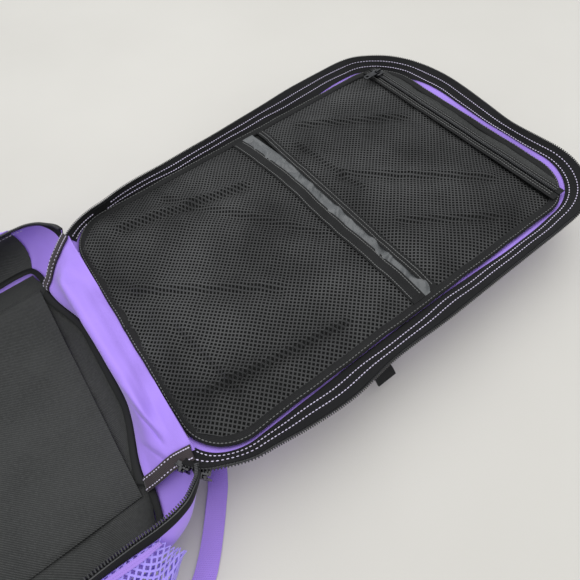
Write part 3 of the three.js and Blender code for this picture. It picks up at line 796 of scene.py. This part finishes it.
def bodyWall(d, t):
    d, t = np.broadcast_arrays(np.asarray(d, float), np.asarray(t, float))
    left = d > lineLength / 2
    e = np.where(left, lineLength - d, d)
    x, y, nx, ny = panelLine(e, -1)
    near = curveThrough(bodyCorner[:, 0], bodyCorner[:, 1:], np.clip(e, seamStart, 290))
    k = 1 - ease(e, 270, 290)
    rimX, rimY = (x + nx * 20) * (1 - k) + near[:, 0] * k, (y + ny * 20) * (1 - k) + near[:, 1] * k
    rimZ = (panel["bodyRim"] - 0.5) * (1 - k) + near[:, 2] * k + 0.9 * ripple(e, 260, 2) * (1 - k)
    seamX, seamY = x * (1 - k) + near[:, 3] * k, y * (1 - k) + near[:, 4] * k
    rise = np.clip((t - tuckShare) / (1 - tuckShare), 0, 1)
    tuck = np.clip((tuckShare - t) / tuckShare, 0, 1)
    swell = (fromTable(wallSwell, e) + 1.4 * ripple(e, 120, 1)) * np.sin(math.pi * np.clip(t, 0, 1)) ** 0.9
    out = swell - 4 * tuck
    px = seamX + (rimX - seamX) * rise + nx * out
    py = seamY + (rimY - seamY) * rise + ny * out
    pz = panel["backLow"] + (rimZ - panel["backLow"]) * t
    return np.where(left, -px, px), py, pz


def aroundBody(start, end, lift=0.0, skew=None):
    # a band on the body's wall; lift moves it off the cloth to the outside
    def place(u, v):
        first = skew[0] + skew[1] * v if skew else seamStart
        d = first + (lineLength - 2 * first) * u
        e = np.minimum(d, lineLength - d)
        low = fromTable(start, np.clip(e, seamStart, 260)) if isinstance(start, list) else start
        t = low + (end - low) * v
        x, y, z = bodyWall(d, t)
        nx, ny = panelLine(d, -1)[2:]
        away = lift(d, t) if callable(lift) else lift
        return x + nx * away, y + ny * away, z
    return place


innerTape = [(118, 0.8), (132, 0.86), (142, 0.92), (150, 0.955), (190, 0.96), (260, 0.95)]


def addBodyWalls():
    size = (wallSpan, 66)
    cloth = clothGrid("bodyWall", (460, 22), size, aroundBody(0.0, 0.97), 1.2)
    finished(cloth, "body", finishes["coated"], ["body_gusset"], blend=hingeBlend)
    inside = clothGrid("bodyZipTapeInside", (460, 6), (wallSpan, 12), aroundBody(innerTape, 1.0, -1.1), 0.8)
    finished(inside, "body", finishes["tape"], ["body_zip_tape"], blend=hingeBlend)
    outside = clothGrid("bodyZipTapeOutside", (460, 6), (wallSpan, 8), aroundBody(0.925, 1.0, 1.0), 0.8)
    finished(outside, "body", finishes["tape"], blend=hingeBlend)
    addTeeth("bodyZipTeeth", bodyWall, bodySpan, 1.01, 1.5, zipTeeth["pitch"], "body", ["body_zip_coil"], hingeBlend)
    bead = clothGrid("bodyZipCord", (460, 8), (wallSpan, 8), aroundTube(bodyWall, bodySpan, 0.985, 1.2, 0.9))
    finished(bead, "body", finishes["coil"], smooth=60, blend=hingeBlend)
    stitchRow("bodyTapeStitch", bodyWall, (seamStart + 44, lineLength - seamStart - 44), 0.9, -2.0, 3.1, body="body")
    slack = lambda d, t: -2.2 - 1.6 * crumple(d, 70 * t, 60, 2) * np.sin(math.pi * np.clip(t, 0, 1))
    lining = clothGrid("sideLining", (420, 20), (wallSpan, 52), aroundBody(0.14, 0.93, slack, (150, 24)), 0.7)
    finished(lining, "body", finishes["lining"])


hingeHalf = 118.0  # half the hinge cloth's width at the back seam
hingeCreases = [((40, -6), (114, 4), 2.6), ((88, -16), (128, 2), 1.2)]  # from, to, depth
# the hinge cloth from the back seam over its fold to the lid: y and z at its middle and at its corner seams
hingeSteps = [0, 0.12, 0.3, 0.46, 0.54, 0.62, 0.8, 1]
hingeMiddle = np.array([(-7, 10.5), (-10, 21), (-7, 43), (-4, 60.5), (0.5, 63.6), (6, 61.5), (13.5, 55.8),
                        (20.8, 50.9)])
hingeEdge = np.array([(-24, 10.5), (-27, 22), (-17.5, 31.5), (-8, 41), (-2, 46.5), (4, 51), (13, 57), (22, 62)])


def hingeFold(p, t):
    # p runs -1..1 between the corner seams, t from the back seam over the fold to the lid
    p, t = np.broadcast_arrays(np.asarray(p, float), np.asarray(t, float))
    a = np.abs(p)
    middle = curveThrough(hingeSteps, hingeMiddle, t)
    edge = curveThrough(hingeSteps, hingeEdge, t)
    fold = np.exp(-((t - 0.5) / 0.16) ** 2)
    k = ease(a, 0.35, 1) * (1 - fold) + ease(a, 0.62, 1) * fold
    y = middle[:, 0] * (1 - k) + edge[:, 0] * k + 0.045 * hingeHalf * p * fold * (1 - k)
    z = middle[:, 1] * (1 - k) + edge[:, 1] * k
    x = p * (hingeHalf + 15 * t * ease(a, 0.8, 1))
    inFold = ease(t, 0.2, 0.4) * (1 - ease(t, 0.66, 0.78))
    for start, end, depth in hingeCreases:
        crease, away = valley(x, y, start, end, 9)
        z = z + depth * inFold * crease * (0.9 * np.tanh(away / 1.3) - np.exp(-((away / 1.8) ** 2)))
    slack = 0.9 * crumple(x, 90 * t, 75, 1) + 0.5 * ripple(x, 48, 2) * np.sin(math.pi * t)
    return x, y + 0.7 * slack * fold, z + slack * ease(t, 0.1, 0.3) * (1 - ease(t, 0.85, 1))


def addHingeCloth():
    cloth = clothGrid("hingeCloth", (320, 96), (240, 88), lambda u, v: hingeFold(2 * u - 1, v), 1.0)
    finished(cloth, "body", finishes["coated"], ["bottom_panel", "hinge_panel"], smooth=70,
             blend=hingeBlend)
    for side, name, node in ((1, "cornerTapeRight", "corner_tape_right"),
                             (-1, "cornerTapeLeft", "corner_tape_left")):
        def seam(s, t):
            # s across the tape in mm, t along it, over the seam between hinge cloth and wall
            s, t = np.broadcast_arrays(np.asarray(s, float), np.asarray(t, float))
            rise = 0.11 + 0.87 * t
            y, z = curveThrough(hingeSteps, hingeEdge, rise.ravel()).T.reshape(2, *t.shape)
            lift = 2.6 + 0.5 * np.sin(math.pi * t) - 0.016 * s**2
            x = side * (hingeHalf + 16 * rise + 0.95 * s)
            return x, y - 0.22 * s - 0.63 * lift, z - 0.18 * s + 0.77 * lift
        tape = clothGrid(name, (10, 44), (12, 66), lambda u, v: seam(12 * (u - 0.5), v), 1.1)
        finished(tape, "body", finishes["seamTape"], [node], blend=hingeBlend)
        count = 19
        for row, s in (("A", -4.1), ("B", 4.1)):
            t = (np.arange(count) + 0.5) / count
            here = np.stack(seam(np.full(count, s), t), axis=-1)
            along = np.stack(seam(np.full(count, s), t + 0.01), axis=-1) - here
            up = np.tile((0.0, -0.62, 0.78), (count, 1))
            thread = copiesOf(name + "Stitch" + row, stitch, here + up * 0.8, along, up)
            finished(thread, "body", finishes["stitch"], smooth=80, blend=hingeBlend)


def seamY(x):
    # the back seam at the hinge end swings back towards both corners
    return -10 - 17 * ease(np.abs(x) / hingeHalf, 0.35, 1) - 9.5 * ease(np.abs(x), hingeHalf, 150)


backFolds = [((-90, -40), (20, -130)), ((-130, -90), (-30, -110)), ((30, -30), (-20, -170))]


def addBackLining():
    def place(u, v):
        v = 0.5 - 0.5 * np.cos(math.pi * v)
        y = -(20 + (panel["far"] - 22.5) * v)
        x = (2 * u - 1) * np.where(y > -150, 150.5, panelHalfWidth(np.minimum(y, -150), -1, -1.5))
        y = y + (seamY(x) + 21) * (1 - ease(-y, 20, 100))
        z = panel["backTop"] - 0.6 + 1.6 * crumple(x, y, 105, 3) * ease(150 - np.abs(x), 0, 20)
        for start, end in backFolds:
            ridge, away = valley(x, y, start, end, 8)
            z = z + 2.2 * ridge * np.tanh(away / 5)
        return x, y, z
    lining = clothGrid("backLining", (120, 150), (300, 450), place, 1.0)
    finished(lining, "body", finishes["lining"], ["back_lining"])
    sleeveLow, sleeveHigh = boxOf("inner_sleeve")
    def sleeve(u, v):
        y = sleeveHigh[1] + 4 - (sleeveHigh[1] - sleeveLow[1]) * v
        x = (2 * u - 1) * (sleeveHigh[0] + 1)
        edge = ease(sleeveHigh[0] + 1 - np.abs(x), 0, 4)
        z = panel["backTop"] + 1.4 + (1.6 + 1.2 * crumple(x, y, 88, 6)) * edge
        return x, y + 5 * ease(-y, 0, 60) - 6, z
    cloth = clothGrid("innerSleeve", (110, 120), (248, 290), sleeve, 0.8)
    finished(cloth, "body", finishes["lining"], ["inner_sleeve"])
    def binding(u, v):
        d = lineLength * u
        e = np.minimum(d, lineLength - d)
        corner = e < seamStart
        x, y, z = bodyWall(np.where(corner, seamStart, e), np.full_like(e, tuckShare))
        nx, ny = panelLine(e, -1)[2:]
        x = np.where(corner, e, x)
        y = np.where(corner, seamY(e), y)
        turn = 2 * math.pi * v
        out = -4.5 + 3.4 * np.cos(turn)
        x = (x + nx * out) * np.where(d > lineLength / 2, -1, 1)
        return x, y + ny * out, panel["backTop"] + 2.6 + 1.3 * np.sin(turn)
    band = mergeLoops(clothGrid("backBinding", (460, 12), (lineLength, 16), binding))
    finished(band, "body", finishes["backing"], ["back_binding"])


# side pockets
sidePocket = {"pitch": 4.8, "girth": 96.0, "length": 170.0, "start": 176.0, "bulge": 24.0}


def sidePocketAt(side):
    def place(x, y):
        # x along the pocket from its closed end, y round its bulge from the top seam
        x, y = np.broadcast_arrays(np.asarray(x, float), np.asarray(y, float))
        share = np.clip(y / sidePocket["girth"], 0, 1)
        d = sidePocket["start"] + x - 12 * np.sin(math.pi * share) * ease(60 - x, 0, 60)
        wallX, wallY, z = bodyWall(d, 0.92 - 0.84 * share)
        nx, ny = panelLine(d, -1)[2:]
        out = 1.6 + sidePocket["bulge"] * np.sin(math.pi * share) ** 0.8 * (0.4 + 0.6 * ease(x, -2, 14)) \
            * (1 - 0.4 * ease(x, 20, 110))
        out = out + (1.8 * ripple(y + 0.3 * x, 30, 1) * ease(30 - x, -40, 26) + 1.3 * crumple(x, y, 42, 2)) \
            * np.sin(math.pi * share)
        return side * (wallX + nx * out), wallY + ny * out, z
    return place


def addSidePockets():
    length, girth = sidePocket["length"], sidePocket["girth"]
    inside = lambda x, y: (x < length) & (y < girth)
    for side, name, end in ((1, "sidePocketRight", "right"), (-1, "sidePocketLeft", "left")):
        place = sidePocketAt(side)
        net = knottedNet(name, (0, length), (0, girth), inside, place, sidePocket["pitch"])
        finished(net, "body", finishes["netPurple"], ["side_pocket_" + end], smooth=35)
        def mouth(u, v):
            return place(length - 4 + 11 * u, girth * v)
        trim = clothGrid(name + "Trim", (6, 60), (11, girth), mouth, 1.8)
        finished(trim, "body", finishes["webbing"], ["side_pocket_trim_" + end])
        def topSeam(u, v):
            x, y, z = place(length * u - 1, 3.2 * v - 0.6)
            return x + side * 1.1, y, z + 0.6
        seam = clothGrid(name + "Seam", (120, 4), (168, 4), topSeam, 2.2)
        finished(seam, "body", finishes["webbing"])


# straps, pads and handle

def ribbon(name, route, halves, thickness, steps=120, across=6):
    # a flat strap: its middle passes the route's points, halves are its half-width vectors there
    route, halves = np.array(route, float), np.array(halves, float)
    knots = np.concatenate([[0], np.cumsum(np.linalg.norm(np.diff(route, axis=0), axis=1))])
    width = 2 * np.linalg.norm(halves[0])
    def place(u, v):
        middle = curveThrough(knots, route, u * knots[-1])
        half = curveThrough(knots, halves, u * knots[-1])
        spot = middle + half * (2 * v[:, None] - 1)
        return spot[:, 0], spot[:, 1], spot[:, 2]
    return clothGrid(name, (steps, across), (knots[-1], width), place, thickness)


lowerWebbing = {
    "thickness": 1.7,
    # middle of the strap and the way across it, from under the lid round to the adjuster
    "route": [(112, -38, 5), (113, -12, 4), (123, 9, 2.5), (138, 22, 2), (150, 17.5, 4), (164, 7.5, 5),
              (180, -5.5, 3.5), (193, -17.5, 2.2), (202, -27.5, 1.6), (210, -44, 1.5), (215, -68, 1.5),
              (215, -96, 1.5), (208, -128, 1.5), (194, -156, 2), (181, -179, 4.5)],
    "across": [(11, 0, 0), (10.5, -4, 0), (7, -8.4, 0), (-1, -10.7, 1.5), (-3.5, -8.6, 4), (-5, -7.2, 5.5),
               (-6, -7.4, 3), (-6.5, -8, 1.2), (-7, -8.2, 0.3), (-9.4, -5.4, 0), (-10.8, -2, 0), (-10.9, 1, 0),
               (-10.4, 3.4, 0), (-9.7, 5, 0), (-9.4, 5.6, 0)],
}


def addStraps():
    flip = np.array((-1, 1, 1))
    for side, end in ((1, "Right"), (-1, "Left")):
        turn = np.array((side, 1, 1))
        node = end.lower()
        strap = ribbon("lowerWebbing" + end, np.array(lowerWebbing["route"]) * turn,
                       np.array(lowerWebbing["across"]) * turn * 0.84, lowerWebbing["thickness"])
        finished(strap, "body", finishes["webbing"], ["lower_webbing_" + node])
        pad = puffedPad("shoulderPad" + end, "shoulder_pad_" + node, 1.2, 3)
        finished(pad, "body", finishes["coatedSoft"], ["shoulder_pad_" + node], smooth=70)
        anchor = puffedPad("webbingAnchor" + end, "webbing_anchor_" + node, 0.4, 1.2, voxel=2)
        finished(anchor, "body", finishes["coatedSoft"], ["webbing_anchor_" + node], smooth=70)
        lock = roundedCopy("ladderLock" + end, "ladder_lock_" + node, 0.7)
        finished(lock, "body", finishes["plastic"], ["ladder_lock_" + node], smooth=40)


def cadCopy(name, node):
    piece = bpy.data.objects.new(name, frame["nodes"][node].data.copy())
    scene.collection.objects.link(piece)
    makeActive(piece)
    bpy.ops.object.mode_set(mode="EDIT")
    bpy.ops.mesh.select_all(action="SELECT")
    bpy.ops.mesh.remove_doubles(threshold=0.01 * mm)
    bpy.ops.mesh.dissolve_limited(angle_limit=math.radians(1))
    bpy.ops.object.mode_set(mode="OBJECT")
    return piece


def roundedCopy(name, node, radius):
    piece = cadCopy(name, node)
    return applied(piece, "BEVEL", width=radius * mm, segments=3, limit_method="ANGLE",
                   angle_limit=math.radians(28), harden_normals=False)


def puffedPad(name, node, shrink, cap, voxel=5.0, pressure=4.0):
    # a pad blown up from slightly inside its space, then kept within it
    piece = cadCopy(name, node)
    low, high = (np.array(corner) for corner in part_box(node))
    middle, size = (low + high) / 2, high - low
    setPoints(piece, middle + (meshPoints(piece) - middle) * (1 - 2 * shrink * mm / size))
    applied(piece, "REMESH", mode="VOXEL", voxel_size=voxel * mm * 0.8)
    points = meshPoints(piece)
    makeActive(piece)
    cloth = piece.modifiers.new("Cloth", "CLOTH")
    cloth.settings.use_pressure = True
    cloth.settings.uniform_pressure_force = pressure
    cloth.settings.effector_weights.gravity = 0
    cloth.point_cache.frame_start, cloth.point_cache.frame_end = 1, 20
    for step in range(1, 21):
        scene.frame_set(step)
    settled = piece.evaluated_get(bpy.context.evaluated_depsgraph_get())
    move = np.array([v.co for v in settled.data.vertices]) - points
    piece.modifiers.remove(cloth)
    length = np.linalg.norm(move, axis=1)[:, None]
    points = points + move * np.minimum(1, cap * mm / np.maximum(length, 1e-9))
    scene.frame_set(1)
    setPoints(piece, np.clip(points, low - 0.4 * mm, high + 0.2 * mm))
    applied(piece, "SMOOTH", factor=0.5, iterations=3)
    return applied(piece, "SUBSURF", levels=1, render_levels=1)


def addBackPads():
    for name, node, shrink, cap, finish, slot in (
            ("backPanel", "back_panel", 1.5, 3, "coatedSoft", "purple_cloth"),
            ("backPadUpper", "back_pad_upper", 1, 3, "padNet", "black_mesh"),
            ("backPadLower", "back_pad_lower", 1, 3, "padNet", "black_mesh"),
            ("frontPocket", "front_pocket", 2.5, 6, "coatedSoft", "purple_cloth")):
        pad = puffedPad(name, node, shrink, cap)
        body = "lid" if node == "front_pocket" else "body"
        finished(pad, body, finishes[finish], [node], smooth=70)


handleStrap = {"half": 8.5, "thickness": 3.4, "height": 4.6}


def addHandle():
    low, high = boxOf("grab_handle")
    half, height = handleStrap["half"], handleStrap["height"]
    span, reach = high[0] - half - 0.5, high[1] - low[1] - half - 0.5
    turns = np.linspace(0, math.pi, 13)
    route = [(span * math.cos(a), high[1] - reach * math.sin(a) ** 0.8, height + 0.6 * math.sin(a)) for a in turns]
    across = [(half * math.cos(a), -half * math.sin(a), 1.2) for a in turns]
    handle = ribbon("grabHandle", route, across, handleStrap["thickness"], 90, 8)
    applied(handle, "BEVEL", width=0.9 * mm, segments=2, limit_method="ANGLE")
    finished(handle, "handle", finishes["webbing"], ["grab_handle"], smooth=60)


# front pocket zip, side strap, sliders and pullers

frontZipBase = boxOf("front_zip_coil")[0][2] + 2.8


def frontLine(d, t):
    x, y, nx, ny = panelLine(d)
    return x - nx * 0.4, y - ny * 0.4, frontZipBase + t


frontZip = {"first": 204.0, "stitchPitch": 3.1}  # first is where the zip starts on the outline


def addFrontZip():
    low, high = boxOf("front_zip_tape")
    first = frontZip["first"]
    span = (first, lineLength - first)
    def tape(u, v):
        return frontLine(span[0] + (span[1] - span[0]) * u, (v - 0.5) * (high[2] - low[2]))
    band = clothGrid("frontZipTape", (360, 6), (span[1] - first, 12), tape, 1.0)
    finished(band, "lid", finishes["tape"], ["front_zip_tape"])
    addTeeth("frontZipTeeth", frontLine, span, 0.0, 1.3, zipTeeth["pitch"], "lid", ["front_zip_coil"])
    for row, t in (("A", -4.6), ("B", 4.6)):
        stitchRow("frontZipStitch" + row, frontLine, span, t, 0.6, frontZip["stitchPitch"])
    low, high = boxOf("side_strap_end")
    middle, half = (low[1] + high[1]) / 2, (high[1] - low[1]) / 2
    route = [(low[0] - 2, middle, 32), (low[0] + 10, middle, 31.4),
             (high[0] - 5, middle + 1, 27), (high[0], middle + 1, 22)]
    strap = ribbon("sideStrapEnd", route, [(0, half, 0)] * 4, 1.8, 30, 6)
    finished(strap, "lid", finishes["binding"], ["side_strap_end"])


def addSliders():
    for name, node, radius in (
            ("pocketSlider", "pocket_slider", 0.5), ("frontSlider", "front_slider", 0.5),
            ("farSlider", "main_zip_far_slider", 0.45), ("nearSlider", "main_zip_near_slider", 0.45),
            ("pocketPuller", "pocket_puller", 0.3), ("frontPuller", "front_puller", 0.3),
            ("farPuller", "main_zip_far_puller", 0.3), ("nearPuller", "main_zip_near_puller", 0.3)):
        body = next(b for b, members in frame["record"]["behaviour"]["bodies"].items() if node in members)
        part = roundedCopy(name, node, radius)
        finished(part, body, finishes["metal"], [node], smooth=40)


addBodyWalls()
addHingeCloth()
addBackLining()
addSidePockets()
print("body ready")
addStraps()
addBackPads()
addHandle()
print("straps and pads ready")
addFrontZip()
addSliders()
print("zips ready")

# floor, light and camera
clearSelection()
bpy.ops.mesh.primitive_plane_add(size=7, location=(0, 0, 0))
floor = bpy.context.object
floor.name = "floor"
floorFinish = Finish("PaleFloor").set(Roughness=0.7)
floorTones = [(0.3, (0.54, 0.52, 0.475)), (0.7, (0.59, 0.57, 0.525))]
floorFinish.colour(floorFinish.ramp(floorFinish.noise(2.2, 4), floorTones))
floorFinish.bump([(floorFinish.noise(700, 2), 0.05)])
floor.data.materials.append(floorFinish.material)

scene.world = bpy.data.worlds.new("Studio")
scene.world.use_nodes = True
scene.world.node_tree.nodes["Background"].inputs["Color"].default_value = (0.93, 0.96, 1, 1)
scene.world.node_tree.nodes["Background"].inputs["Strength"].default_value = 0.78
scene.view_settings.view_transform = "Standard"

lamps = {
    "keyPanel": {"at": (-0.6, 0.55, 1.95), "size": 2.2, "power": 25},
    "fillPanel": {"at": (0.9, -0.5, 1.7), "size": 1.9, "power": 11},
}
for name, lamp in lamps.items():
    bpy.ops.object.light_add(type="AREA", location=lamp["at"])
    light = bpy.context.object
    light.name = name
    light.data.shape = "SQUARE"
    light.data.size = lamp["size"]
    light.data.energy = lamp["power"]
    light.rotation_euler = (Vector((0, 0.15, 0)) - Vector(lamp["at"])).to_track_quat("-Z", "Y").to_euler()

view = {
    "at": (0.2434, 0.0761, 0.401),
    "turn": ((0.5908, -0.6692, 0.4507), (0.8034, 0.5392, -0.2526), (-0.074, 0.5113, 0.8562)),
    "lens": 27.06,
}
bpy.ops.object.camera_add(location=view["at"])
camera = bpy.context.object
camera.name = "camera"
camera.rotation_euler = Matrix(view["turn"]).to_euler()
camera.data.lens = view["lens"]
camera.data.clip_start = 0.01
scene.camera = camera
